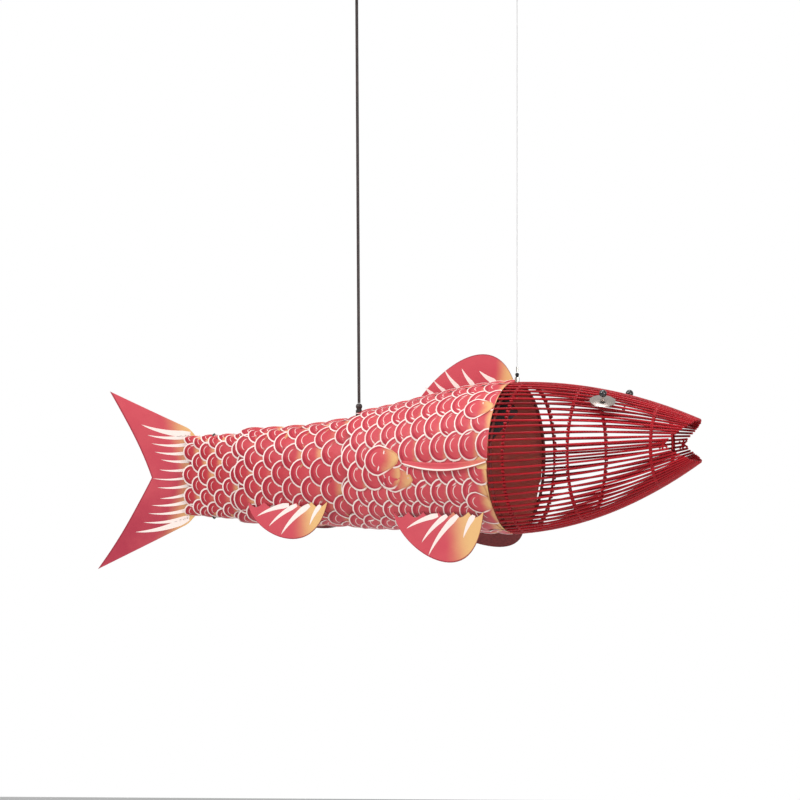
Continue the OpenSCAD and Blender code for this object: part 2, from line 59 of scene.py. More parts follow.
def colour(name, description, value):
    return bpy.props.FloatVectorProperty(
        name=name, description=description, default=value, size=3, min=0, max=1, subtype="COLOR")


def length(name, description, value):
    return bpy.props.FloatProperty(
        name=name, description=description, default=value, min=0, precision=4, unit="LENGTH")


def share(name, description, value):
    return bpy.props.FloatProperty(name=name, description=description, default=value, min=0, max=4)


class CarpColours(bpy.types.PropertyGroup):
    scale_rear: colour("Rear scales", "Crimson of the scales near the tail", (0.388, 0.021, 0.032))
    scale_front: colour("Front scales", "Pink of the scales near the head", (0.510, 0.060, 0.076))
    crescent: colour("Crescent", "Darker band inside the free edge of a scale", (0.300, 0.014, 0.028))
    cream: colour("Cream", "Outlines, highlights and fin rays", (0.790, 0.670, 0.620))
    orange: colour("Orange", "Warm fade on scales and fins", (0.650, 0.390, 0.160))
    fin_pink: colour("Fin pink", "Main colour of the fins", (0.500, 0.060, 0.082))
    fin_deep: colour("Fin crimson", "Deeper colour of the tail lobes", (0.320, 0.026, 0.050))
    inner: colour("Inner face", "Brown reverse of the sheet", (0.540, 0.098, 0.074))
    rattan: colour("Rattan", "Lacquered red rattan", (0.330, 0.004, 0.009))
    rattan_dark: colour("Dark rattan", "Shade in the grain of the rattan", (0.120, 0.003, 0.006))


class CarpSizes(bpy.types.PropertyGroup):
    rear_scale: length("Rear scale radius", "Radius of a scale near the tail", 0.0152)
    middle_scale: length("Middle scale radius", "Radius of a scale amidships", 0.0210)
    front_scale: length("Front scale radius", "Radius of a scale near the head", 0.0205)
    outline: length("Outline width", "Width of the cream outline of a scale", 0.0023)
    scale_sheet: length("Scale thickness", "Thickness of one scale", 0.0004)
    scale_lift: length("Scale lift", "Rise of a scale from its root to its free edge", 0.0013)
    crest: length("Crest", "Height of the scale edges along the back and belly", 0.0060)
    rib_radius: length("Rib radius", "Radius of a rattan rib", 0.00178)
    hoop_radius: length("Hoop radius", "Radius of a rattan hoop", 0.0019)
    wobble: length("Rib wobble", "How far a rattan rib strays from its line", 0.0005)
    light: share("Light", "Strength of the studio lights", 1.0)


def tint(name):
    """A colour of the settings with its alpha."""
    return (*getattr(bpy.context.scene.carp_colours, name), 1.0)


def size(name):
    return getattr(bpy.context.scene.carp_sizes, name)


# ---------- materials ----------

class Wire:
    """A shader socket that plain arithmetic turns into Math nodes."""

    def __init__(self, look, socket):
        self.look, self.socket = look, socket

    def math(self, operation, a, b=0.0):
        return self.look.node("ShaderNodeMath", {"operation": operation}, {0: a, 1: b})

    def __add__(self, other):
        return self.math("ADD", self, other)

    def __sub__(self, other):
        return self.math("SUBTRACT", self, other)

    def __rsub__(self, other):
        return self.math("SUBTRACT", other, self)

    def __mul__(self, other):
        return self.math("MULTIPLY", self, other)

    def __rtruediv__(self, other):
        return self.math("DIVIDE", other, self)

    def __pow__(self, other):
        return self.math("POWER", self, other)

    def __abs__(self):
        return self.math("ABSOLUTE", self)


class Look:
    """One material and the nodes that make it."""

    def __init__(self, name):
        self.material = bpy.data.materials.new(name)
        self.material.use_nodes = True
        self.tree = self.material.node_tree
        self.shader = self.tree.nodes["Principled BSDF"]
        self.place = self.node("ShaderNodeTexCoord", {}, {}, "Object")

    def node(self, kind, settings, inputs, out=0):
        made = self.tree.nodes.new(kind)
        for key, value in settings.items():
            setattr(made, key, value)
        for key, value in inputs.items():
            if isinstance(value, Wire):
                self.tree.links.new(value.socket, made.inputs[key])
            else:
                made.inputs[key].default_value = value
        return Wire(self, made.outputs[out])

    def attribute(self, name):
        return self.node("ShaderNodeAttribute", {"attribute_name": name}, {}, "Fac")

    def stretched(self, scale):
        return self.node("ShaderNodeMapping", {}, {"Vector": self.place, "Scale": scale})

    def noise(self, scale, detail=3.0, rough=0.5, place=None, seed=0.0):
        return self.node("ShaderNodeTexNoise", {"noise_dimensions": "4D"}, {
            "Vector": place or self.place, "W": seed, "Scale": scale, "Detail": detail,
            "Roughness": rough}, "Fac")

    def between(self, value, low, high):
        """0 below low, 1 above high and smooth between, or the other way round."""
        return self.node("ShaderNodeMapRange", {"interpolation_type": "SMOOTHSTEP"}, {
            "Value": value, "From Min": low, "From Max": high}, "Result")

    def mix(self, share_of_b, a, b):
        return self.node("ShaderNodeMix", {"data_type": "RGBA"}, {0: share_of_b, 6: a, 7: b}, 2)

    def bump(self, height, distance, strength=1.0, over=None):
        inputs = {"Height": height, "Distance": distance, "Strength": strength}
        if over:
            inputs["Normal"] = over
        return self.node("ShaderNodeBump", {}, inputs, "Normal")

    def finish(self, **sockets):
        names = {"colour": "Base Color", "rough": "Roughness", "metal": "Metallic",
                 "coat": "Coat Weight", "coat_rough": "Coat Roughness", "normal": "Normal",
                 "specular": "Specular IOR Level", "under": "Subsurface Weight",
                 "under_scale": "Subsurface Scale"}
        for key, value in sockets.items():
            socket = self.shader.inputs[names[key]]
            if isinstance(value, Wire):
                self.tree.links.new(value.socket, socket)
            else:
                socket.default_value = value
        return self.material


def shade(r, g, b):
    return (r, g, b, 1.0)


def scale_print():
    """Printed scale: cream outline, crescent, highlight stroke and an orange fade."""
    look = Look("printed_scales")
    u, v = look.attribute("scale_u"), look.attribute("scale_v")
    radius = look.attribute("scale_mm")
    pink, warm = look.attribute("pinkness"), look.attribute("warmth")
    pick = look.attribute("pick")
    reach = (u * u + v * v) ** 0.5
    outline = size("outline") / MM
    edge = 1.0 - outline / radius
    flaw = (look.noise(520.0, 2.0) - 0.5) * 0.018
    rim = look.between(reach + flaw, edge - 0.012, edge + 0.012) * look.between(u, -0.72, -0.35)
    # The crescent lies between the outline and a circle shifted towards the front
    inner = ((u + 0.13) * (u + 0.13) + (v * 0.99) * (v * 0.99)) ** 0.5
    crescent = look.between(inner + flaw, 0.765, 0.795)
    # The highlight is a thin stroke that follows the free edge
    arc = ((u + 0.10) * (u + 0.10) + (v + 0.04) * (v + 0.04)) ** 0.5
    stroke = 1.0 - look.between(abs(arc + flaw - 0.53), 0.018, 0.040)
    ends = look.between(u, 0.02, 0.16)
    stroke = stroke * ends * (1.0 - look.between(abs(v + 0.06), 0.36, 0.50))
    body = look.mix(pink, tint("scale_rear"), tint("scale_front"))
    crescent_colour = look.mix(pink, tint("crescent"), shade(0.390, 0.030, 0.048))
    soft = look.between(u, 0.55, -0.75)
    body = look.mix(soft * 0.42, body, shade(0.580, 0.100, 0.105))
    body = look.mix(look.between(look.noise(38.0, 2.0), 0.35, 0.7) * 0.22, body, shade(0.330, 0.018, 0.036))
    fade = look.between(0.0 - u + (look.noise(60.0, 2.0) - 0.5) * 0.5, 0.05, 0.95) * warm
    body = look.mix(fade, body, tint("orange"))
    tone = look.mix(crescent, body, look.mix(fade * 0.7, crescent_colour, tint("orange")))
    tone = look.mix(stroke * 0.85, tone, tint("cream"))
    tone = look.mix(rim, tone, tint("cream"))
    grain = look.between(look.noise(900.0, 2.0), 0.35, 0.75)
    tone = look.mix(grain * 0.10, tone, shade(0.20, 0.010, 0.02))
    tone = look.mix(pick * 0.16, tone, shade(0.270, 0.012, 0.028))
    reverse = look.between(look.attribute("reverse"), 0.4, 0.6)
    tone = look.mix(reverse, tone, tint("inner"))
    weave = look.noise(1500.0, 2.0, 0.6)
    normal = look.bump(weave, 0.00006, 0.5, look.bump(look.noise(120.0, 2.0), 0.0005, 0.25))
    return look.finish(colour=tone, rough=look.between(weave, 0.2, 0.9) * 0.14 + 0.42, normal=normal,
                       specular=0.22)


def base_print():
    """The sheet under the scales: crimson outside, brown inside with a fibrous reverse."""
    look = Look("sheet_base")
    reverse = look.between(look.attribute("reverse"), 0.4, 0.6)
    pink = look.attribute("pinkness")
    front = look.mix(pink, tint("crescent"), tint("scale_front"))
    front = look.mix(look.attribute("warmth"), front, tint("orange"))
    fibre = look.noise(260.0, 4.0, 0.65, look.stretched((0.35, 1.0, 1.0)))
    back = look.mix(look.between(fibre, 0.35, 0.72), tint("inner"), shade(0.480, 0.125, 0.100))
    back = look.mix(look.between(look.noise(14.0, 2.0), 0.4, 0.7) * 0.4, back, shade(0.260, 0.050, 0.042))
    tone = look.mix(reverse, front, back)
    normal = look.bump(fibre, 0.00015, 0.6)
    return look.finish(colour=tone, rough=look.between(fibre, 0.2, 0.9) * 0.2 + 0.5, normal=normal,
                       specular=0.35)


def fin_print(name, deep_share):
    """Printed fin: pink to crimson, an orange fade along one edge, cream rays, brown reverse."""
    look = Look(name)
    warm, ray = look.attribute("warmth"), look.attribute("ray")
    deep = look.attribute("deepness")
    cloud = look.noise(22.0, 3.0, 0.55)
    tone = look.mix(deep * deep_share, tint("fin_pink"), tint("fin_deep"))
    tone = look.mix(look.between(cloud, 0.38, 0.66) * 0.25, tone, shade(0.550, 0.095, 0.105))
    drift = look.between(warm + (cloud - 0.5) * 0.22, 0.15, 0.85)
    tone = look.mix(drift, tone, tint("orange"))
    tone = look.mix(look.between(ray, 0.4, 0.6), tone, tint("cream"))
    edge = look.attribute("edge")
    tone = look.mix(look.between(edge, 0.965, 0.985) * 0.8, tone, shade(0.23, 0.015, 0.030))
    grain = look.noise(1100.0, 3.0, 0.6)
    tone = look.mix(look.between(grain, 0.4, 0.75) * 0.10, tone, shade(0.28, 0.02, 0.03))
    reverse = look.between(look.attribute("reverse"), 0.4, 0.6)
    fibre = look.noise(300.0, 4.0, 0.65)
    back = look.mix(look.between(fibre, 0.35, 0.7), shade(0.150, 0.018, 0.018), shade(0.080, 0.006, 0.008))
    tone = look.mix(reverse, tone, back)
    normal = look.bump(grain, 0.00006, 0.5, look.bump(look.noise(60.0, 2.0), 0.0008, 0.2))
    return look.finish(colour=tone, rough=look.between(grain, 0.2, 0.9) * 0.14 + 0.44, normal=normal,
                       specular=0.22)


def rattan_lacquer():
    """Round rattan core, stained red and lacquered, with long grain and lighter nicks."""
    look = Look("rattan_lacquer")
    along, round_it = look.attribute("along"), look.attribute("around")
    pick = look.attribute("pick")
    strand = look.node("ShaderNodeCombineXYZ", {}, {0: along * 26.0, 1: round_it * 7.0, 2: pick * 40.0})
    grain = look.noise(1.0, 5.0, 0.62, strand)
    fine = look.noise(3.2, 3.0, 0.7, strand, 3.0)
    tone = look.mix(look.between(grain, 0.34, 0.66), tint("rattan_dark"), tint("rattan"))
    tone = look.mix(pick * 0.50, tone, shade(0.460, 0.012, 0.022))
    tone = look.mix(look.between(fine, 0.60, 0.74) * 0.40, tone, shade(0.520, 0.040, 0.042))
    knot = look.between(look.noise(0.9, 1.0, 0.5, strand, 8.0), 0.66, 0.74)
    tone = look.mix(knot * 0.6, tone, shade(0.070, 0.004, 0.006))
    normal = look.bump(grain + fine * 0.5, 0.0004, 0.55)
    return look.finish(colour=tone, rough=look.between(fine, 0.3, 0.8) * 0.16 + 0.27, normal=normal,
                       coat=0.05, coat_rough=0.25, specular=0.14)


def cord_flex():
    look = Look("cord_flex")
    fine = look.noise(900.0, 3.0, 0.6, look.stretched((1.0, 1.0, 0.15)))
    tone = look.mix(look.between(fine, 0.3, 0.75), shade(0.014, 0.010, 0.010), shade(0.045, 0.028, 0.025))
    tone = look.mix(look.between(look.noise(35.0, 2.0), 0.5, 0.7) * 0.4, tone, shade(0.075, 0.050, 0.045))
    return look.finish(colour=tone, rough=look.between(fine, 0.2, 0.8) * 0.18 + 0.36,
                       normal=look.bump(fine, 0.00008, 0.5), specular=0.45)


def drawn_steel(name, base, dark, rough, stretch=(1.0, 1.0, 1.0), scale=700.0):
    """Metal with fine drawn lines, small stains and wear."""
    look = Look(name)
    lines = look.noise(scale, 3.0, 0.6, look.stretched(stretch))
    stain = look.noise(55.0, 4.0, 0.6)
    tone = look.mix(look.between(lines, 0.3, 0.8), shade(*dark), shade(*base))
    tone = look.mix(look.between(stain, 0.56, 0.74) * 0.35, tone, shade(*(0.6 * c for c in dark)))
    return look.finish(colour=tone, metal=1.0, rough=look.between(stain, 0.25, 0.8) * 0.16 + rough,
                       normal=look.bump(lines, 0.00005, 0.4))


def painted(name, base, light, rough, grain=1400.0, coat=0.0):
    """Paint or moulded plastic with a fine orange peel, dust and worn high spots."""
    look = Look(name)
    peel = look.noise(grain, 2.0, 0.5)
    dust = look.noise(42.0, 4.0, 0.6)
    tone = look.mix(look.between(dust, 0.45, 0.78) * 0.6, shade(*base), shade(*light))
    tone = look.mix(look.between(peel, 0.3, 0.8) * 0.25, tone, shade(*light))
    return look.finish(colour=tone, rough=look.between(dust, 0.3, 0.75) * 0.14 + rough,
                       normal=look.bump(peel, 0.00006, 0.5), coat=coat, coat_rough=0.12, specular=0.2)


def opal_glass():
    look = Look("opal_glass")
    haze = look.noise(24.0, 2.0)
    tone = look.mix(look.between(haze, 0.35, 0.7), shade(0.82, 0.80, 0.75), shade(0.93, 0.91, 0.86))
    return look.finish(colour=tone, rough=look.between(haze, 0.3, 0.7) * 0.08 + 0.12, coat=0.6,
                       coat_rough=0.05, under=0.25, under_scale=0.01)


def screw_cap():
    """Rolled aluminium screw cap: a slanting thread in the bump."""
    look = Look("screw_cap")
    run = look.node("ShaderNodeSeparateXYZ", {}, {0: look.place})
    axis = look.node("ShaderNodeSeparateXYZ", {}, {0: look.place}, "Z")
    down = (run + axis) * (-0.7071 / 0.0035)
    wave = look.node("ShaderNodeMath", {"operation": "SINE"}, {0: down * math.tau})
    fine = look.noise(600.0, 3.0)
    tone = look.mix(look.between(fine, 0.3, 0.8), shade(0.50, 0.50, 0.49), shade(0.76, 0.76, 0.75))
    return look.finish(colour=tone, metal=1.0, rough=look.between(fine, 0.2, 0.8) * 0.12 + 0.24,
                       normal=look.bump(wave, 0.0007, 0.8))


LOOKS = {}


def material(name):
    """The material of that finish, made when it is first asked for."""
    makers = {
        "scales": scale_print, "base": base_print, "rattan": rattan_lacquer, "cord": cord_flex,
        "fin": lambda: fin_print("printed_fin", 0.35), "tail": lambda: fin_print("printed_tail", 0.9),
        "plated": lambda: drawn_steel("zinc_plate", (0.62, 0.61, 0.59), (0.36, 0.36, 0.35), 0.30),
        "nickel": lambda: drawn_steel("nickel_plate", (0.72, 0.69, 0.64), (0.46, 0.43, 0.39), 0.14),
        "eye_steel": lambda: drawn_steel("eye_steel", (0.68, 0.60, 0.55), (0.36, 0.30, 0.27), 0.17,
                                         (1.0, 1.0, 0.2), 900.0),
        "strand": lambda: drawn_steel("wire_strand", (0.80, 0.80, 0.79), (0.48, 0.48, 0.48), 0.32,
                                      (1.0, 1.0, 0.12), 2600.0),
        "canopy": lambda: painted("powder_coat", (0.016, 0.015, 0.015), (0.050, 0.047, 0.045), 0.42),
        "collar": lambda: painted("collar_paint", (0.110, 0.018, 0.016), (0.200, 0.040, 0.034), 0.50),
        "frame": lambda: painted("frame_paint", (0.020, 0.016, 0.015), (0.060, 0.045, 0.040), 0.46),
        "lamp": lambda: painted("lamp_paint", (0.012, 0.011, 0.011), (0.040, 0.036, 0.034), 0.34),
        "nozzle": lambda: painted("nozzle_plastic", (0.010, 0.010, 0.010), (0.035, 0.033, 0.032), 0.26),
        "block": lambda: painted("terminal_nylon", (0.72, 0.71, 0.66), (0.82, 0.81, 0.77), 0.40, 700.0),
        "ball": lambda: painted("gloss_ball", (0.006, 0.006, 0.006), (0.022, 0.020, 0.020), 0.06,
                                2200.0, 1.0),
        "glass": opal_glass, "cap": screw_cap}
    if name not in LOOKS:
        LOOKS[name] = makers[name]()
    return LOOKS[name]


# ---------- making pieces ----------

def dress(look, *names):
    """Gives CAD nodes that keep their own shape a finish."""
    for name in names:
        mesh = NODES[name].data
        mesh.materials.clear()
        mesh.materials.append(material(look))


def piece(name, bm, looks, body, replaced):
    """Turns a bmesh into a finished piece that rides on a body."""
    mesh = bpy.data.meshes.new(name)
    for face in bm.faces:
        face.smooth = True
    bm.to_mesh(mesh)
    bm.free()
    for look in looks:
        mesh.materials.append(material(look))
    made = bpy.data.objects.new(name, mesh)
    bpy.context.scene.collection.objects.link(made)
    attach(made, body)
    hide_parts(replaced)


MARKS = ("reverse", "pinkness", "warmth", "deepness", "edge", "ray", "pick", "along", "around",
         "scale_u", "scale_v", "scale_mm")


def fresh():
    """An empty bmesh with every float layer that the finishes read."""
    bm = bmesh.new()
    for name in MARKS:
        bm.verts.layers.float.new(name)
    return bm


def layers(bm, *names):
    """Float layers of the vertices, by name."""
    return [bm.verts.layers.float[name] for name in names]


def sharpen(bm, angle=40):
    """Marks the corners of thin edges, so that smooth faces don't blend across them."""
    limit = math.radians(angle)
    for edge in bm.edges:
        if len(edge.link_faces) == 2 and edge.calc_face_angle(0.0) > limit:
            edge.smooth = False


def plate(bm, across, along, place, thick, marks=None, index=0, two_faced=False):
    """A curved plate from a grid: place(u, v, depth) gives a point for u and v from 0 to 1.
    marks(u, v) gives values for named float layers."""
    made = bmesh.ops.create_grid(bm, x_segments=across, y_segments=along, size=0.5)
    front = made["verts"]
    faces = list({f for v in front for f in v.link_faces})
    grown = bmesh.ops.extrude_face_region(bm, geom=faces, use_keep_orig=True)["geom"]
    back = [e for e in grown if isinstance(e, bmesh.types.BMVert)]
    reverse = layers(bm, "reverse")[0]
    for verts, depth in ((front, 0.0), (back, thick)):
        for vert in verts:
            u, v = vert.co.x + 0.5, vert.co.y + 0.5
            if marks:
                for key, value in marks(u, v).items():
                    vert[layers(bm, key)[0]] = value
            vert[reverse] = 1.0 if depth and not two_faced else 0.0
            vert.co = place(u, v, depth)
    for face in {f for v in front + back for f in v.link_faces}:
        face.material_index = index


def face_outwards(bm):
    bmesh.ops.recalc_face_normals(bm, faces=bm.faces)


def stick_template(steps, sides):
    """A capped stick of radius 1 along Z from 0 to 1, cut into steps."""
    bm = bmesh.new()
    bmesh.ops.create_cone(bm, cap_ends=True, segments=sides, radius1=1, radius2=1, depth=1)
    long_edges = [e for e in bm.edges if abs(e.verts[0].co.z - e.verts[1].co.z) > 0.5]
    bmesh.ops.subdivide_edges(bm, edges=long_edges, cuts=steps - 1)
    bmesh.ops.translate(bm, verts=bm.verts, vec=(0, 0, 0.5))
    for edge in bm.edges:
        if len(edge.link_faces) == 2 and edge.calc_face_angle(0.0) > 1.0:
            edge.smooth = False
    mesh = bpy.data.meshes.new("stick_template")
    bm.to_mesh(mesh)
    bm.free()
    return mesh


def add_stick(bm, template, path, radius, shade_pick):
    """Lays a copy of a stick along path, a function from 0..1 to a point."""
    before = len(bm.verts)
    bm.from_mesh(template)
    bm.verts.ensure_lookup_table()
    along, around, pick = layers(bm, "along", "around", "pick")
    total = (path(1.0) - path(0.0)).length
    seen = {}
    for vert in bm.verts[before:]:
        x, y, t = vert.co
        key = round(t, 5)
        if key not in seen:
            middle = path(t)
            run = path(min(1.0, t + 0.01)) - path(max(0.0, t - 0.01))
            run.normalize()
            side = run.cross(Vector((0, 0, 1)))
            if side.length < 0.1:
                side = run.cross(Vector((0, 1, 0)))
            side.normalize()
            seen[key] = (middle, side, run.cross(side))
        middle, side, up = seen[key]
        vert[along] = t * total
        vert[around] = math.atan2(y, x) / math.tau * (1 if y >= 0 else -1) * 2
        vert[pick] = shade_pick
        vert.co = middle + (side * x + up * y) * radius


# ---------- shape of the carp, in metres as in the frame ----------

# Middle of the collar and tail root, half sizes of the collar, length and mouth of the head
COLLAR_X, TAIL_X, COLLAR_Z = 0.133, -0.410, -0.743
COLLAR_H, COLLAR_W, HEAD_LEN = 0.117, 0.118, 0.302
BODY_LEN = COLLAR_X - TAIL_X
MOUTH_DEPTH = 0.046
MOUTH_T = 1 - MOUTH_DEPTH / HEAD_LEN
RIBS_PER_SECTOR = 11
# Step in radius from one section of the skin to the next, and thicknesses of the sheets
STEP = 0.003
SKIN, FIN_SHEET, SIDE_FIN_SHEET = 0.0008, 0.0016, 0.0014
# Front face of a fin from the middle of its sheet, and how far a ray stands out of it
FIN_HALF, RAY_LIFT = FIN_SHEET / 2, 0.0002


def lerp(a, b, t):
    return a + (b - a) * t


def bow(t):
    return 4 * t * (1 - t)


def ease(t):
    return t * t * (3 - 2 * t)


def unit_share(t):
    return min(1.0, max(0.0, t))


def head_w(t):
    return lerp(COLLAR_W, 0.036, t) - 0.002 * bow(t) - 0.006 * max(0.0, (t - 0.6) / 0.4) ** 2


def head_top(t):
    return COLLAR_Z + lerp(COLLAR_H, 0.060, t) + 0.016 * bow(t)


def head_low(t):
    return COLLAR_Z + lerp(-COLLAR_H, -0.007, t) - 0.023 * bow(t)


def head_pt(t, angle, off):
    a = math.radians(angle)
    middle, half = (head_top(t) + head_low(t)) / 2, (head_top(t) - head_low(t)) / 2
    return Vector((COLLAR_X + HEAD_LEN * t, (head_w(t) + off) * math.cos(a),
                   middle + (half + off) * math.sin(a)))


def rib_end(angle):
    s = abs(math.sin(math.radians(angle)))
    hc = (head_top(MOUTH_T) - head_low(MOUTH_T)) / 2
    ht = (head_top(1) - head_low(1)) / 2
    return MOUTH_T + (1 - MOUTH_T) * hc * s / (ht + (hc - ht) * s)


def body_t(x):
    return (x - TAIL_X) / BODY_LEN


def body_w(x):
    return lerp(0.009, COLLAR_W - 2 * STEP, unit_share(body_t(x)) ** 0.85)


def body_top(x):
    return COLLAR_Z + lerp(0.039, COLLAR_H - 2 * STEP, ease(unit_share(body_t(x)) ** 1.5))


def body_low(x):
    return COLLAR_Z + lerp(-0.095, -COLLAR_H + 2 * STEP, unit_share(body_t(x)))


def body_pt(x, angle, off):
    a = math.radians(angle)
    middle, half = (body_top(x) + body_low(x)) / 2, (body_top(x) - body_low(x)) / 2
    return Vector((x, (body_w(x) + off) * math.cos(a), middle + (half + off) * math.sin(a)))


GIRTHS = {}


def girth(x, off):
    """Half girth at x and a table from its share, 0 at the back and 1 at the belly, to an angle."""
    key = (round(x, 4), round(off, 4))
    if key not in GIRTHS:
        steps = 90
        points = [body_pt(x, 90 - 180 * i / steps, off) for i in range(steps + 1)]
        run = [0.0]
        for a, b in zip(points, points[1:]):
            run.append(run[-1] + (b - a).length)
        GIRTHS[key] = (run[-1], run)
    return GIRTHS[key]


def flank_pt(x, s, off):
    """Point at distance s down the flank from the back seam; near the two seams the sheet
    turns away from the body and stands up as a crest."""
    total, run = girth(x, off if off < 0.02 else 0.02)
    start = 0.008
    mirror = s > total / 2
    d = total - s if mirror else s
    past = start - d
    use = start if past > 0 else max(0.0, d)
    i = min(len(run) - 2, max(0, int(use / total * (len(run) - 1))))
    while i > 0 and run[i] > use:
        i -= 1
    while i < len(run) - 2 and run[i + 1] < use:
        i += 1
    angle = 90 - 2 * (i + (use - run[i]) / max(1e-9, run[i + 1] - run[i]))
    if mirror:
        angle = -angle
    point = body_pt(x, angle, off)
    up = -1 if mirror else 1
    if past > 0:
        turn, bend = math.radians(60), 0.007
        swing = min(past, bend)
        y = bend * math.sin(turn * swing / bend) / turn
        z = bend * (1 - math.cos(turn * swing / bend)) / turn
        rest = max(0.0, past - bend) * 0.32
        y += rest * math.cos(turn)
        z += rest * math.sin(turn)
        point.y = max(0.0004, point.y - y)
        point.z += up * z
    point.z -= up * 0.006 * max(0.0, 1 - max(0.0, d) / 0.035) ** 2
    return point


# ---------- skin ----------

# Sections from front to tail: x of both ends, offset of the sheet, first and last share of
# the half girth, and flare, an extra offset that grows towards the rear end; the rows of scales and their
# pitch along the body are set in rows_of
SECTIONS = {
    "front_upper_panel": dict(x0=-0.1235, x1=0.129, off=2 * STEP, top=0.0, low=0.545, flare=0.003),
    "front_lower_panel": dict(x0=-0.1235, x1=0.1265, off=2 * STEP - 0.0015, top=0.50, low=1.0, flare=0.003),
    "middle_panel": dict(x0=-0.317, x1=-0.067, off=STEP, top=0.0, low=1.0, flare=0.003),
    "rear_panel": dict(x0=-0.414, x1=-0.281, off=0.0, top=0.0, low=1.0, flare=0.0)}


def section_off(part, x):
    t = unit_share((x - part["x0"]) / (part["x1"] - part["x0"]))
    return part["off"] + part["flare"] * (1 - t) ** 3


def pinkness(x):
    """0 near the tail, 1 near the head."""
    return unit_share((x + 0.36) / 0.30)


def scale_template():
    """A disc of radius 1 in X and Y with two inner rings and a middle point."""
    bm = bmesh.new()
    bmesh.ops.create_circle(bm, cap_ends=True, segments=16, radius=1)
    for width in (0.30, 0.35):
        face = next(f for f in bm.faces if len(f.verts) == 16)
        bmesh.ops.inset_region(bm, faces=[face], thickness=width, use_even_offset=True)
    face = next(f for f in bm.faces if len(f.verts) == 16)
    bmesh.ops.poke(bm, faces=[face])
    mesh = bpy.data.meshes.new("scale_template")
    bm.to_mesh(mesh)
    bm.free()
    return mesh


def add_scale(bm, template, side, part, x, s, radius, extra, warmth, pick, squash=1.0, tilt=0.0, leaf=0.0):
    """One scale whose middle is at x and s, bent onto the body; extra lifts it over others and
    leaf draws its front out to a point."""
    scratch = fresh()
    scratch.from_mesh(template)
    faces = list(scratch.faces)
    front = list(scratch.verts)
    grown = bmesh.ops.extrude_face_region(scratch, geom=faces, use_keep_orig=True)["geom"]
    back = [e for e in grown if isinstance(e, bmesh.types.BMVert)]
    lift, thick = size("scale_lift"), size("scale_sheet")
    keys = ("scale_u", "scale_v", "scale_mm", "pinkness", "warmth", "pick", "reverse")
    found = layers(scratch, *keys)
    total = girth(x, part["off"])[0]
    for verts, depth in ((front, 0.0), (back, 1.0)):
        for vert in verts:
            u, v = vert.co.x, vert.co.y
            fore = max(0.0, -u)
            a, b = u * (1 + leaf * fore), v * (1 - 0.55 * leaf * fore)
            turned = a * math.cos(tilt) - b * math.sin(tilt), a * math.sin(tilt) + b * math.cos(tilt)
            px = x - turned[0] * radius
            ps = s + turned[1] * radius * squash
            local = girth(px, part["off"])[0]
            ps = ps * local / total
            px = min(part["x1"] + 0.0015, px)
            rise = 0.0007 + lift * (0.5 + 0.5 * u) + extra - thick * depth
            point = flank_pt(px, ps, section_off(part, px) + rise)
            values = (u, v, radius / MM, pinkness(x), warmth, pick, depth)
            for layer, value in zip(found, values):
                vert[layer] = value
            vert.co = (point.x, side * point.y, point.z)
    bmesh.ops.recalc_face_normals(scratch, faces=scratch.faces)
    for edge in scratch.edges:
        edge.smooth = not (len(edge.link_faces) == 2 and edge.calc_face_angle(0.0) > 0.9)
    for face in scratch.faces:
        face.material_index = 1
    mesh = bpy.data.meshes.new("one_scale")
    scratch.to_mesh(mesh)
    scratch.free()
    bm.from_mesh(mesh)
    bpy.data.meshes.remove(mesh)


def rows_of(part, key):
    """Places of the scales of one section: x, distance down the flank, radius."""
    rear, middle, front = size("rear_scale"), size("middle_scale"), size("front_scale")
    places = []
    if key == "rear_panel":
        rows, pitch, radius = 8, 0.0290, rear
    elif key == "middle_panel":
        rows, pitch, radius = 8, 0.0355, middle
    else:
        rows, pitch, radius = 9, 0.0265, front
    x_mid = (part["x0"] + part["x1"]) / 2
    total_mid = girth(x_mid, part["off"])[0]
    for row in range(rows + 1):
        down = row / rows
        if not part["top"] - 0.01 <= down <= part["low"] + 0.02:
            continue
        stop = -0.03 if key == "front_upper_panel" and down > 0.5 else part["x1"]
        x = part["x0"] + (pitch / 2 if row % 2 else 0.0) + radius * 0.72
        while x < min(stop, part["x1"] - (0 if "front" in key else 0.02)):
            total = girth(x, part["off"])[0]
            grow = 0.72 + 0.28 * total / total_mid
            s = min(max(down * total, 0.0085), total - 0.0085)
            places.append((x, s, radius * grow))
            x += pitch * grow
    return places


def lip(bm, part, side):
    """The curled lower edge of the front upper panel, widest in the middle."""
    def place(u, v, depth):
        x = lerp(-0.020, part["x1"], u)
        down = 0.506 + 0.0185 * u + 0.020 * bow(u)
        s = down * girth(x, part["off"])[0] + lerp(-0.004, 0.0008 + 0.0145 * bow(u), v)
        point = flank_pt(x, s, part["off"] + 0.0026 + 0.0045 * bow(u) * v ** 2 - depth)
        return (point.x, side * point.y, point.z)

    plate(bm, 28, 6, place, SKIN, lambda u, v: {
        "scale_u": -0.35, "scale_v": lerp(0.2, 1.0, v), "scale_mm": 16.0, "pinkness": 1.0,
        "warmth": 0.95 * unit_share((u - 0.66) / 0.2), "pick": 0.8 * bow(u)}, 1)


def hash_of(text):
    return sum((i + 1) * ord(c) for i, c in enumerate(text))


# Larger scales that lie over their neighbours: x, share of the half girth, radius
FEATURES = {
    "front_upper_panel": ((-0.0615, 0.483, 0.0245), (0.0995, 0.278, 0.0205)),
    "front_lower_panel": ((-0.0340, 0.590, 0.0215), (0.1060, 0.718, 0.0205))}


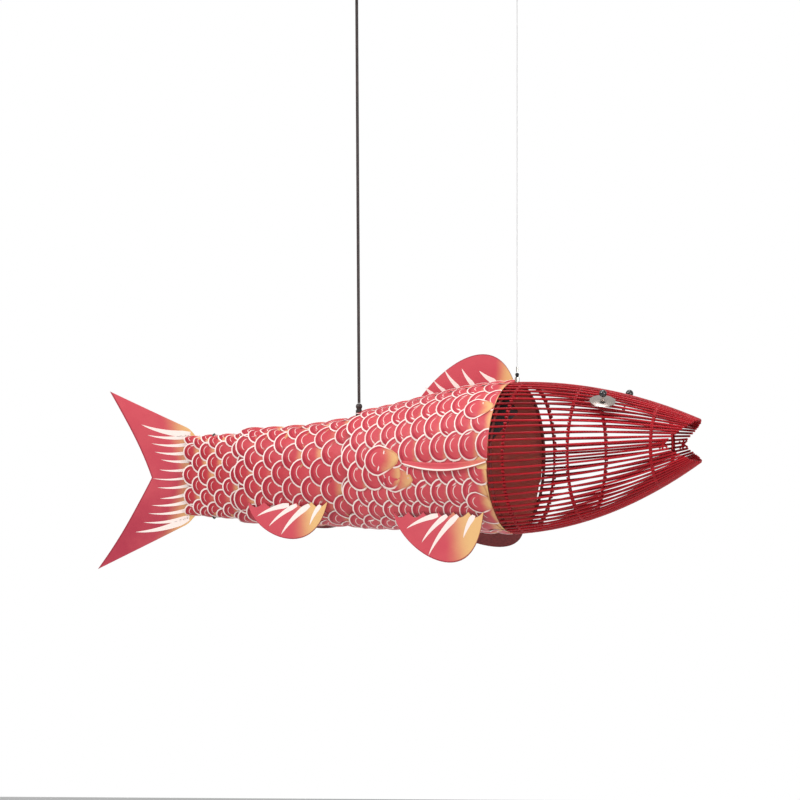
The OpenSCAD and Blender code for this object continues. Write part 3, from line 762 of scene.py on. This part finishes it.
def skin_panel(key, side_name, side):
    """One panel: the bent sheet and its scales, joined."""
    rng = random.Random(hash_of(key))
    part = SECTIONS[key]
    bm = fresh()
    reach = size("crest") * 0.5

    def sheet_place(u, v, depth):
        x = lerp(part["x0"] + 0.006, part["x1"], u)
        total = girth(x, part["off"])[0]
        low = -reach + 0.008 if part["top"] == 0 else part["top"] * total
        high = total + reach - 0.008 if part["low"] == 1 else part["low"] * total
        point = flank_pt(x, lerp(low, high, v), section_off(part, x) - depth)
        return (point.x, side * point.y, point.z)

    def sheet_marks(u, v):
        x = lerp(part["x0"], part["x1"], u)
        return {"pinkness": pinkness(x),
                "warmth": unit_share((x - 0.085) / 0.03) if "front" in key else 0.0}

    plate(bm, 26, 40, sheet_place, SKIN, sheet_marks, 0)
    face_outwards(bm)
    sharpen(bm)
    template = scale_template()
    places = sorted(rows_of(part, key), key=lambda p: p[0])
    for x, s, radius in places:
        chance = rng.random()
        warm = 0.95 if chance < 0.26 else 0.25 if chance < 0.5 else 0.0
        if "front" in key and x > 0.085:
            warm = max(warm, 0.95)
        if key == "rear_panel" and chance > 0.72:
            warm = 0.8
        add_scale(bm, template, side, part, x + rng.uniform(-1, 1) * 0.0015,
                  s + rng.uniform(-1, 1) * 0.0008, radius * rng.uniform(0.97, 1.05),
                  rng.uniform(0, 0.0002), warm, rng.random(), 1.2 if "front" in key else 1.08)
    if key == "front_upper_panel":
        lip(bm, part, side)
    for x, share_down, radius in FEATURES.get(key, ()):
        total = girth(x, part["off"])[0]
        add_scale(bm, template, side, part, x, share_down * total, radius, 0.0012, 1.0,
                  rng.random() * 0.4, 1.0, rng.uniform(-0.15, 0.15), 0.5)
    bpy.data.meshes.remove(template)
    name = f"{key}_{side_name}"
    piece(f"scaled_{name}", bm, ("base", "scales"), "fish", name)


# ---------- fins ----------

def bezier(p, t):
    s = 1 - t
    return tuple(s ** 3 * p[0][i] + 3 * s * s * t * p[1][i] + 3 * s * t * t * p[2][i] + t ** 3 * p[3][i]
                 for i in (0, 1))


def spike(bm, place, start, tip, width, depth, lift):
    """A cream ray: a long leaf on a sheet, from its root to its tip, in the sheet's own plane."""
    run = Vector((tip[0] - start[0], tip[1] - start[1]))
    side = Vector((-run.y, run.x)).normalized()

    def at(u, v, down):
        fat = width * (1 - u) ** 0.75 * min(1.0, 0.55 + 3.0 * u)
        bend = bow(u) * 0.05 * run.length
        centre = Vector(start) + run * u + side * bend
        spot = centre + side * ((v - 0.5) * fat)
        return place(spot.x, spot.y, depth + (down if lift < 0 else -down) + lift)

    plate(bm, 12, 2, at, 0.00018, lambda u, v: {"ray": 1.0}, 0, True)


# ---------- operators ----------

class CarpOperator(bpy.types.Operator):
    bl_options = {"REGISTER", "UNDO"}


class CARP_OT_stage(CarpOperator):
    """Camera, pale floor and soft studio lights"""
    bl_idname = "carp.stage"
    bl_label = "Stage"

    def execute(self, context):
        scene = context.scene
        azimuth, elevation, distance = math.radians(22), 0.0, 40.0
        target = Vector((-0.061, 0.0, -0.654))
        away = Vector((math.sin(azimuth) * math.cos(elevation), -math.cos(azimuth) * math.cos(elevation),
                       math.sin(elevation)))
        data = bpy.data.cameras.new("camera")
        data.lens, data.sensor_width = 1170, 36
        data.clip_end = 100
        camera = bpy.data.objects.new("camera", data)
        camera.location = target + away * distance
        camera.rotation_euler = (-away).to_track_quat("-Z", "Y").to_euler()
        scene.collection.objects.link(camera)
        scene.camera = camera
        power = size("light")
        for name, place, width, watts, aim in (
                ("key", (-1.4, -2.4, 1.5), 1.3, 74, (-0.1, 0, -0.7)),
                ("fill", (2.4, -2.2, 0.3), 1.8, 26, (0.1, 0, -0.7)),
                ("top", (0.1, -0.2, 1.6), 1.2, 36, (0.0, 0, -0.7)),
                ("inside", (1.9, -0.7, -0.6), 0.6, 9, (0.1, 0.1, -0.75))):
            lamp = bpy.data.lights.new(name, "AREA")
            lamp.shape, lamp.size, lamp.energy = "DISK", width, watts * power
            made = bpy.data.objects.new(name, lamp)
            made.location = place
            made.rotation_euler = (Vector(aim) - Vector(place)).to_track_quat("-Z", "Y").to_euler()
            scene.collection.objects.link(made)
        world = bpy.data.worlds.new("studio")
        world.use_nodes = True
        tree = world.node_tree
        seen, soft = tree.nodes["Background"], tree.nodes.new("ShaderNodeBackground")
        for node, strength in ((seen, 1.0), (soft, 0.62)):
            node.inputs["Color"].default_value = (1, 1, 1, 1)
            node.inputs["Strength"].default_value = strength
        path, both = tree.nodes.new("ShaderNodeLightPath"), tree.nodes.new("ShaderNodeMixShader")
        tree.links.new(path.outputs["Is Camera Ray"], both.inputs[0])
        tree.links.new(soft.outputs[0], both.inputs[1])
        tree.links.new(seen.outputs[0], both.inputs[2])
        tree.links.new(both.outputs[0], tree.nodes["World Output"].inputs["Surface"])
        scene.world = world
        scene.view_settings.view_transform = "Standard"
        self.floor(-1.5, 14)
        return {"FINISHED"}

    def floor(self, height, half):
        """A wide pale floor that is no part of the lantern."""
        bm = bmesh.new()
        bmesh.ops.create_grid(bm, x_segments=4, y_segments=4, size=half)
        bmesh.ops.translate(bm, verts=bm.verts, vec=(0, 0, height))
        mesh = bpy.data.meshes.new("floor")
        bm.to_mesh(mesh)
        bm.free()
        made = bpy.data.objects.new("floor", mesh)
        look = Look("floor_paper")
        mottle = look.between(look.noise(3.0, 2.0), 0.3, 0.7)
        look.finish(colour=look.mix(mottle, shade(0.70, 0.70, 0.70), shade(0.76, 0.76, 0.76)),
                    rough=mottle * 0.1 + 0.8, specular=0.1)
        mesh.materials.append(look.material)
        bpy.context.scene.collection.objects.link(made)


CORD_PATH = [Vector((lerp(-0.133, -0.129, i / 14), 0, lerp(-0.0253, -0.6587, i / 14))) for i in range(15)]
WIRE_PATH = [Vector((0.133, 0, lerp(-0.0233, -0.603, i / 14))) for i in range(15)]


def line_curve(name, points, diameter, look):
    data = bpy.data.curves.new(name, "CURVE")
    data.dimensions = "3D"
    data.bevel_depth = diameter / 2
    data.bevel_resolution = 4
    data.use_fill_caps = True
    spline = data.splines.new("POLY")
    spline.points.add(len(points) - 1)
    for spot, point in zip(spline.points, points):
        spot.co = (*point, 1)
    data.materials.append(material(look))
    made = bpy.data.objects.new(name, data)
    bpy.context.scene.collection.objects.link(made)
    return made


class CARP_OT_lines(CarpOperator):
    """Power cord and steel suspension wire"""
    bl_idname = "carp.lines"
    bl_label = "Lines"

    def execute(self, context):
        cord = line_curve("power_cord_flex", CORD_PATH, 0.0046, "cord")
        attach(cord, "cord")
        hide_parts("power_cord")
        wire = line_curve("suspension_wire_strand", WIRE_PATH, 0.0012, "strand")
        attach(wire, "wire")
        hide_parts("suspension_wire")
        dress("nickel", "wire_crimp")
        return {"FINISHED"}


class CARP_OT_fittings(CarpOperator):
    """Ceiling fitting, hanging points, frame, lamp and eyes"""
    bl_idname = "carp.fittings"
    bl_label = "Fittings"

    def execute(self, context):
        dress("plated", "ceiling_bracket", "canopy_screws", "grip_nut", "tail_rivets")
        dress("canopy", "ceiling_canopy", "cord_gland")
        dress("block", "terminal_block")
        dress("nickel", "wire_gland", "cord_swivel_ball", "wire_swivel_ball", "wire_gripper")
        dress("nozzle", "gripper_nozzle")
        dress("frame", "spine_rod", "keel_rod", "shoulder_ring", "waist_ring", "hip_ring", "tail_ring",
              "lamp_bracket")
        dress("collar", "collar_ring")
        dress("lamp", "lamp_cup", "lampholder")
        dress("cord", "inner_lead", "cord_grip")
        dress("cap", "bulb_cap")
        dress("glass", "bulb_globe")
        dress("eye_steel", "eye_disc_left", "eye_disc_right", "eye_screw_left", "eye_screw_right")
        dress("ball", "eye_ball_left", "eye_ball_right")
        return {"FINISHED"}


class CARP_OT_skin(CarpOperator):
    """Eight panels of sheet skin with overlapping scales"""
    bl_idname = "carp.skin"
    bl_label = "Scaled skin"

    def execute(self, context):
        for key in SECTIONS:
            for side_name, side in SIDES:
                skin_panel(key, side_name, side)
        return {"FINISHED"}


# Rays of the tail: share across the root, tip in X and Z, width at the root
TAIL_RAYS = (
    (0.955, (-0.4915, -0.692), 0.0115), (0.93, (-0.482, -0.708), 0.0072), (0.85, (-0.475, -0.721), 0.0064),
    (0.76, (-0.470, -0.734), 0.0066), (0.67, (-0.459, -0.746), 0.0062), (0.585, (-0.462, -0.7615), 0.0058),
    (0.50, (-0.473, -0.775), 0.0048), (0.415, (-0.464, -0.789), 0.0058), (0.33, (-0.460, -0.806), 0.0064),
    (0.24, (-0.474, -0.8165), 0.0066), (0.15, (-0.480, -0.829), 0.0064), (0.07, (-0.488, -0.843), 0.0072),
    (0.045, (-0.502, -0.858), 0.0115))


class CARP_OT_tail(CarpOperator):
    """Forked tail fin with cream rays"""
    bl_idname = "carp.tail"
    bl_label = "Tail fin"

    def execute(self, context):
        top, low = body_top(TAIL_X), body_low(TAIL_X)
        middle = (top + low) / 2
        root = TAIL_X + 0.016
        upper_tip, notch = (TAIL_X - 0.134, top + 0.063), (TAIL_X - 0.064, middle - 0.003)
        lower_tip = (TAIL_X - 0.154, low - 0.077)

        def rear(v):
            if v < 0.5:
                t = v * 2
                bend = 0.004 * bow(t)
                return lerp(lower_tip[0], notch[0], t) + bend, lerp(lower_tip[1], notch[1], t)
            t = v * 2 - 1
            return lerp(notch[0], upper_tip[0], t) + 0.004 * bow(t), lerp(notch[1], upper_tip[1], t)

        def outline(u, v):
            """u from the root to the free edge, v from the lower to the upper lobe."""
            z_root = lerp(low + 0.012, top - 0.012, v)
            far = rear(v)
            x = lerp(root, far[0], u)
            swell = 0.010 * ease(unit_share(u / 0.14)) * (1 - unit_share(u))
            z = lerp(z_root, far[1], u) + swell * (2 * v - 1)
            return x, z

        def place(x, z, depth):
            ripple = 0.0012 * math.sin((z - middle) * 46) * unit_share((TAIL_X - x) / 0.05)
            return (x, FIN_HALF - depth + ripple, z)

        bm = fresh()

        def marks(u, v):
            return {"warmth": 0.98 * (1 - unit_share(u / 0.55)), "deepness": unit_share(1.15 - 1.3 * v),
                    "edge": max(u, 0.0), "ray": 0.0}

        plate(bm, 34, 48, lambda u, v, depth: place(*outline(u, v), depth), FIN_SHEET, marks, 0, True)
        for depth, lift in ((0.0, -RAY_LIFT), (FIN_SHEET, RAY_LIFT)):
            for start_v, tip, width in TAIL_RAYS:
                start = outline(0.11, start_v)
                spike(bm, place, start, tip, width, depth, lift)
        face_outwards(bm)
        sharpen(bm)
        piece("tail_fin_sheet", bm, ("tail",), "fish", "tail_fin")
        return {"FINISHED"}


# Rays of the dorsal fin: X of the root, tip in X and Z, width at the root
BACK_RAYS = ((-0.006, (-0.019, -0.634), 0.0070), (0.014, (-0.005, -0.624), 0.0065),
             (0.037, (0.013, -0.608), 0.0080), (0.061, (0.041, -0.6055), 0.0085),
             (0.097, (0.070, -0.609), 0.0100))


class CARP_OT_back_fin(CarpOperator):
    """Dorsal fin that stands in the seam of the back"""
    bl_idname = "carp.back_fin"
    bl_label = "Dorsal fin"

    def execute(self, context):
        x0, x1 = COLLAR_X - 0.164, COLLAR_X - 0.005
        off = 2 * STEP - 0.0025

        def root_z(x):
            return body_pt(x, 90, off).z

        curve = [(x0, root_z(x0)), (x0 + 0.043, root_z(x0) + 0.0595),
                 (x0 + 0.128, root_z(x0) + 0.112), (x1, root_z(x1) + 0.002)]

        def outline(u, v):
            far = bezier(curve, u)
            near_x = lerp(x0, x1, u)
            return lerp(near_x, far[0], v), lerp(root_z(near_x) - 0.001, far[1], v)

        def place(x, z, depth):
            return (x, FIN_HALF - depth + 0.0015 * math.sin((x - x0) * 20), z)

        def marks(u, v):
            return {"warmth": unit_share((u - 0.72) / 0.24) * 0.9, "deepness": 0.5 * (1 - v),
                    "edge": v, "ray": 0.0}

        bm = fresh()
        plate(bm, 40, 16, lambda u, v, depth: place(*outline(u, v), depth), FIN_SHEET, marks, 0, True)
        for depth, lift in ((0.0, -RAY_LIFT), (FIN_SHEET, RAY_LIFT)):
            for root_x, tip, width in BACK_RAYS:
                spike(bm, place, (root_x, root_z(root_x) + 0.004), tip, width, depth, lift)
        face_outwards(bm)
        sharpen(bm)
        piece("dorsal_fin_sheet", bm, ("fin",), "fish", "dorsal_fin")
        return {"FINISHED"}


# Side fins: root start, direction of the root, outline from the root start, and rays as
# share along the root, tip as share of length and of depth, and width
FIN_STAND = 0.0045
FIN_TILT = {"left": 50, "right": 9}
SIDE_FINS = {
    "pectoral": dict(waves=6, x0=-0.046, x1=0.111, angle=-46, off=2 * STEP, depth=0.072,
                     mid=((0.002, 0.0), (0.014, 0.72), (0.150, 1.89)),
                     rays=((0.50, 0.16, 0.30, 0.0105), (0.60, 0.34, 0.60, 0.0105),
                           (0.72, 0.42, 0.88, 0.0120), (0.90, 0.80, 0.50, 0.0110))),
    "pelvic": dict(waves=5, x0=-0.298, x1=-0.157, angle=-34, off=STEP, depth=0.052,
                   mid=((0.0, 0.0), (0.014, 0.95), (0.122, 1.73)),
                   rays=((0.52, 0.12, 0.36, 0.0100), (0.62, 0.28, 0.66, 0.0095),
                         (0.78, 0.44, 0.90, 0.0120), (0.92, 0.80, 0.62, 0.0090)))}


class CARP_OT_side_fins(CarpOperator):
    """Pectoral and pelvic fins, each on its own spring hinge"""
    bl_idname = "carp.side_fins"
    bl_label = "Side fins"

    def execute(self, context):
        for key, part in SIDE_FINS.items():
            for side_name, side in SIDES:
                self.one(key, part, side_name, side)
        return {"FINISHED"}

    def one(self, key, part, side_name, side):
        start = body_pt(part["x0"], part["angle"], part["off"] + FIN_STAND)
        run = (body_pt(part["x1"], part["angle"], part["off"] + FIN_STAND) - start).normalized()
        length_of = part["x1"] - part["x0"]
        turn = (Matrix.Rotation(math.atan2(run.y, run.x), 4, "Z")
                @ Matrix.Rotation(-math.asin(run.z), 4, "Y")
                @ Matrix.Rotation(math.radians(FIN_TILT[side_name]), 4, "X"))
        depth_of = part["depth"]
        curve = [(x, share_of * depth_of) for x, share_of in part["mid"]] + [(length_of, 0)]

        def outline(u, v):
            far = bezier(curve, u)
            root = -0.004 + 0.0085 * abs(math.sin(math.pi * part["waves"] * u))
            return lerp(u * length_of, far[0], v), lerp(min(root, far[1]), far[1], v)

        def place(x, down, depth):
            cup = 0.007 * (down / depth_of) ** 2 - 0.004 * bow(unit_share(x / length_of)) * down / depth_of
            spot = start + turn @ Vector((x, FIN_HALF - depth - cup, -down))
            return (spot.x, side * spot.y, spot.z)

        def marks(u, v):
            return {"warmth": unit_share((u - 0.50) / 0.36) * 0.95, "deepness": 0.25 * (1 - v),
                    "edge": v, "ray": 0.0}

        bm = fresh()
        plate(bm, 36, 16, lambda u, v, depth: place(*outline(u, v), depth), SIDE_FIN_SHEET, marks)
        for root, tip_x, tip_down, width in part["rays"]:
            spike(bm, place, (root * length_of, 0.001), (tip_x * length_of, tip_down * depth_of),
                  width, 0.0, -RAY_LIFT)
        face_outwards(bm)
        sharpen(bm)
        name = f"{key}_fin_{side_name}"
        piece(f"{name}_sheet", bm, ("fin",), f"{key}_{side_name}", name)


class CARP_OT_ribs(CarpOperator):
    """Sixty-six rattan ribs of the head, in six groups"""
    bl_idname = "carp.ribs"
    bl_label = "Rattan ribs"

    def execute(self, context):
        template = stick_template(22, 9)
        for name, middle, side in (("crown_ribs", 90, 1), ("chin_ribs", -90, 1),
                                   ("temple_ribs_left", 30, 1), ("temple_ribs_right", 30, -1),
                                   ("jowl_ribs_left", -30, 1), ("jowl_ribs_right", -30, -1)):
            rng = random.Random(hash_of(name))
            bm = fresh()
            for k in range(RIBS_PER_SECTOR):
                angle = middle + 60 * ((k + 0.5) / RIBS_PER_SECTOR - 0.5)
                self.rib(bm, template, angle, side, rng)
            face_outwards(bm)
            piece(f"{name}_rattan", bm, ("rattan",), "fish", name)
        bpy.data.meshes.remove(template)
        return {"FINISHED"}

    def rib(self, bm, template, angle, side, rng):
        wobble, radius = size("wobble"), size("rib_radius")
        waves = [(rng.uniform(3, 9), rng.uniform(0, 6.3), rng.uniform(-1, 1)) for _ in range(3)]
        start = -0.003 / HEAD_LEN
        end = rib_end(angle) - rng.uniform(0, 0.006)

        def path(t):
            at = lerp(start, end, t)
            sway = sum(a * math.sin(f * t + p) for f, p, a in waves) * wobble * min(1, 6 * bow(t) / 4 + 0.1)
            spot = head_pt(at, angle + sway / 0.0018, -radius)
            return Vector((spot.x, side * spot.y, spot.z))

        add_stick(bm, template, path, radius, rng.random())


class CARP_OT_hoops(CarpOperator):
    """Three rattan hoops inside the ribs"""
    bl_idname = "carp.hoops"
    bl_label = "Rattan hoops"

    def execute(self, context):
        template, wrap = stick_template(96, 8), stick_template(3, 8)
        radius = size("hoop_radius")
        for name, t, gap in (("cheek_hoop", 0.063, 0.0), ("brow_hoop", 0.38, 0.0001),
                             ("mouth_hoop", 0.79, 0.0004)):
            rng = random.Random(hash_of(name))
            bm = fresh()
            off = -2 * size("rib_radius") - radius - gap

            def path(u, t=t, off=off):
                """A little more than a full turn, so that the ends lap."""
                return head_pt(t, 80 + 362 * u, off)

            add_stick(bm, template, path, radius, rng.random())
            ribs = 6 * RIBS_PER_SECTOR
            for k in range(ribs):
                self.lashing(bm, wrap, t, -90 + (k + 0.5) * 360 / ribs, rng)
            if name == "mouth_hoop":
                for side in (1, -1):
                    self.knot(bm, wrap, side)
            face_outwards(bm)
            piece(f"{name}_rattan", bm, ("rattan",), "fish", name)
        bpy.data.meshes.remove(template)
        bpy.data.meshes.remove(wrap)
        return {"FINISHED"}

    def lashing(self, bm, wrap, t, angle, rng):
        """A turn of thread that ties a rib to the hoop."""
        rib, tilt = size("rib_radius"), rng.uniform(-1, 1) * 0.6
        reach = 0.0021 / HEAD_LEN

        def path(u):
            return head_pt(t + reach * (2 * u - 1), angle + tilt * (2 * u - 1), -1.35 * rib)

        add_stick(bm, wrap, path, rib * 1.3, rng.random() * 0.3)

    def knot(self, bm, wrap, side):
        """Crossed turns of rattan at a corner of the mouth."""
        corner = head_pt(MOUTH_T + 0.004, 0, -0.002)
        for dx, dz in ((0.006, 0.006), (0.007, -0.004), (0.001, 0.009)):
            a = Vector((corner.x - dx, side * corner.y, corner.z - dz))
            b = Vector((corner.x + dx, side * corner.y, corner.z + dz))
            add_stick(bm, wrap, lambda u, a=a, b=b: a.lerp(b, u), 0.0016, 0.4)


class CARP_PT_panel(bpy.types.Panel):
    """Lists the parts of the lantern and their settings"""
    bl_label = "Carp lantern"
    bl_idname = "CARP_PT_panel"
    bl_space_type = "VIEW_3D"
    bl_region_type = "UI"
    bl_category = "Carp"

    def draw(self, context):
        for operator in OPERATORS:
            self.layout.operator(operator.bl_idname)
        for group in (context.scene.carp_colours, context.scene.carp_sizes):
            box = self.layout.box()
            for name in group.__annotations__:
                box.prop(group, name)


OPERATORS = (CARP_OT_stage, CARP_OT_lines, CARP_OT_fittings, CARP_OT_skin, CARP_OT_tail,
             CARP_OT_back_fin, CARP_OT_side_fins, CARP_OT_ribs, CARP_OT_hoops)
CLASSES = (CarpColours, CarpSizes, *OPERATORS, CARP_PT_panel)


def register():
    for cls in CLASSES:
        bpy.utils.register_class(cls)
    bpy.types.Scene.carp_colours = bpy.props.PointerProperty(type=CarpColours)
    bpy.types.Scene.carp_sizes = bpy.props.PointerProperty(type=CarpSizes)


def unregister():
    del bpy.types.Scene.carp_sizes
    del bpy.types.Scene.carp_colours
    for cls in reversed(CLASSES):
        bpy.utils.unregister_class(cls)


def main():
    register()
    for operator in OPERATORS:
        group, name = operator.bl_idname.split(".")
        getattr(getattr(bpy.ops, group), name)()


if __name__ == "__main__":
    main()
